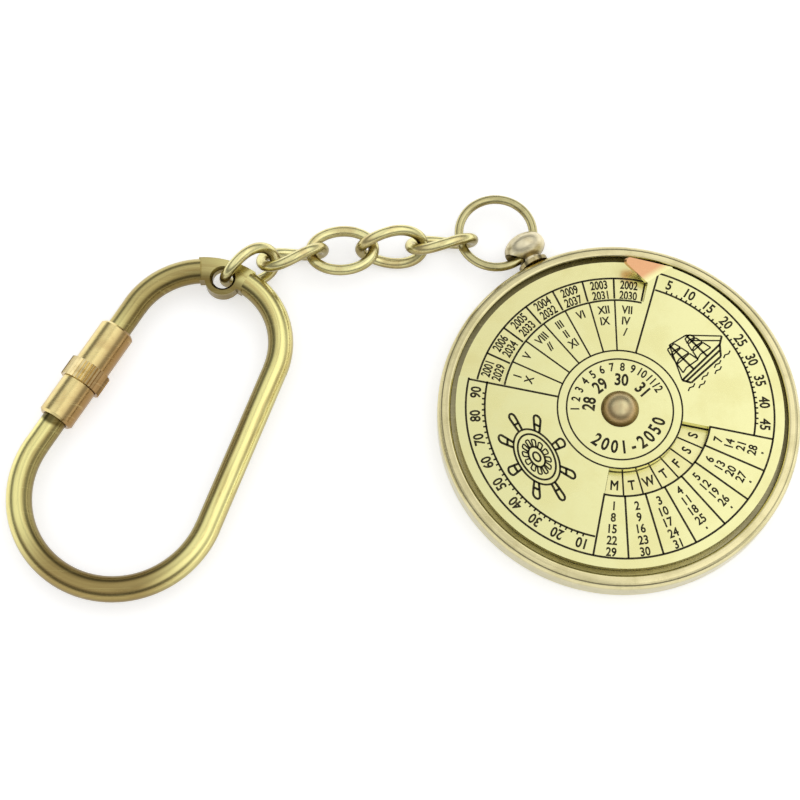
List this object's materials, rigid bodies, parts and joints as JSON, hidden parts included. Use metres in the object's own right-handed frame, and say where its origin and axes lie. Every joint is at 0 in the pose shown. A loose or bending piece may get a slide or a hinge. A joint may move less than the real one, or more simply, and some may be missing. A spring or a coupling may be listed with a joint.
{
  "type": "perpetual calendar keyring",
  "caption": "Round brass perpetual calendar with a windowed turning dial, hung by a ball pendant, bow ring and twisted chain from an oval key shackle with a screw sleeve.",
  "frame": {"origin": "middle of the case's flat back, under the dials' pivot", "axes": "+Z out of the dial face, +X along the length of the laid-out keyring away from the shackle, +Y up the page of the face"},
  "size_m": [0.0978, 0.0541, 0.0071],
  "materials": {
    "case": "polished, lacquered, lightly scratched",
    "dial_plate": "polished with dark etched and filled markings",
    "washer": "plain",
    "rivet": "polished, red-toned",
    "pendant": "polished",
    "ring_wire": "drawn wire",
    "chain_wire": "drawn wire, toned",
    "shackle_rod": "polished rod, toned and scratched",
    "sleeve": "turned",
    "knurl": "straight knurled"
  },
  "bodies": {
    "case": {"case": "case", "base_dial": "dial_plate", "friction_washer": "washer", "pivot_rivet": "rivet", "pendant_collar": "pendant", "pendant_ball": "pendant"},
    "turning_dial": {"top_dial": "dial_plate"},
    "ring": {"bow_ring": "ring_wire"},
    "link_1": {"chain_link_1": "chain_wire"},
    "link_2": {"chain_link_2": "chain_wire"},
    "link_3": {"chain_link_3": "chain_wire"},
    "link_4": {"chain_link_4": "chain_wire"},
    "eye_link": {"eye_link": "chain_wire"},
    "shackle": {"shackle_rod": "shackle_rod"},
    "sleeve": {"sleeve_barrel": "sleeve"},
    "band": {"knurled_band": "knurl"}
  },
  "joints": [
    {"name": "dial_turn", "type": "hinge", "parent": "case", "child": "turning_dial", "pos_m": [0, 0, 0.00526], "axis": [0, 0, 1], "continuous": true},
    {"name": "ring_swing", "type": "hinge", "parent": "case", "child": "ring", "pos_m": [-0.01094, 0.02243, 0.00285], "axis": [0.6157, 0.788, 0], "range_deg": [-85, 95]},
    {"name": "link_1_swing", "type": "hinge", "parent": "ring", "child": "link_1", "pos_m": [-0.01929, 0.02345, 0.00285], "axis": [0.2924, -0.9563, 0], "range_deg": [-60, 60]},
    {"name": "link_2_swing", "type": "hinge", "parent": "link_1", "child": "link_2", "pos_m": [-0.02578, 0.02277, 0.00335], "axis": [0.0739, -0.7032, 0.7071], "range_deg": [-60, 60]},
    {"name": "link_3_swing", "type": "hinge", "parent": "link_2", "child": "link_3", "pos_m": [-0.03217, 0.02233, 0.00335], "axis": [-0.0061, 0.0869, 0.9962], "range_deg": [-60, 38]},
    {"name": "link_4_swing", "type": "hinge", "parent": "link_3", "child": "link_4", "pos_m": [-0.03855, 0.02188, 0.00335], "axis": [-0.0698, 0.9976, 0], "range_deg": [-60, 60]},
    {"name": "eye_link_swing", "type": "hinge", "parent": "link_4", "child": "eye_link", "pos_m": [-0.04481, 0.02055, 0.00335], "axis": [-0.1703, 0.8013, -0.5736], "range_deg": [-60, 60]},
    {"name": "shackle_swing", "type": "hinge", "parent": "eye_link", "child": "shackle", "pos_m": [-0.0494, 0.01811, 0.00335], "axis": [0, 0, 1], "range_deg": [-80, 10]},
    {"name": "sleeve_slide", "type": "slide", "parent": "shackle", "child": "sleeve", "axis": [0.519, 0.8548, 0], "range_m": [0, 0.0041]},
    {"name": "band_turn", "type": "hinge", "parent": "sleeve", "child": "band", "pos_m": [-0.07193, -0.00408, 0.00335], "axis": [0.519, 0.8548, 0], "range_deg": [0, 2326]}
  ],
  "couplings": [
    {"joint": "band_turn", "follows": "sleeve_slide", "rad_per_m": 9894.8}
  ]
}
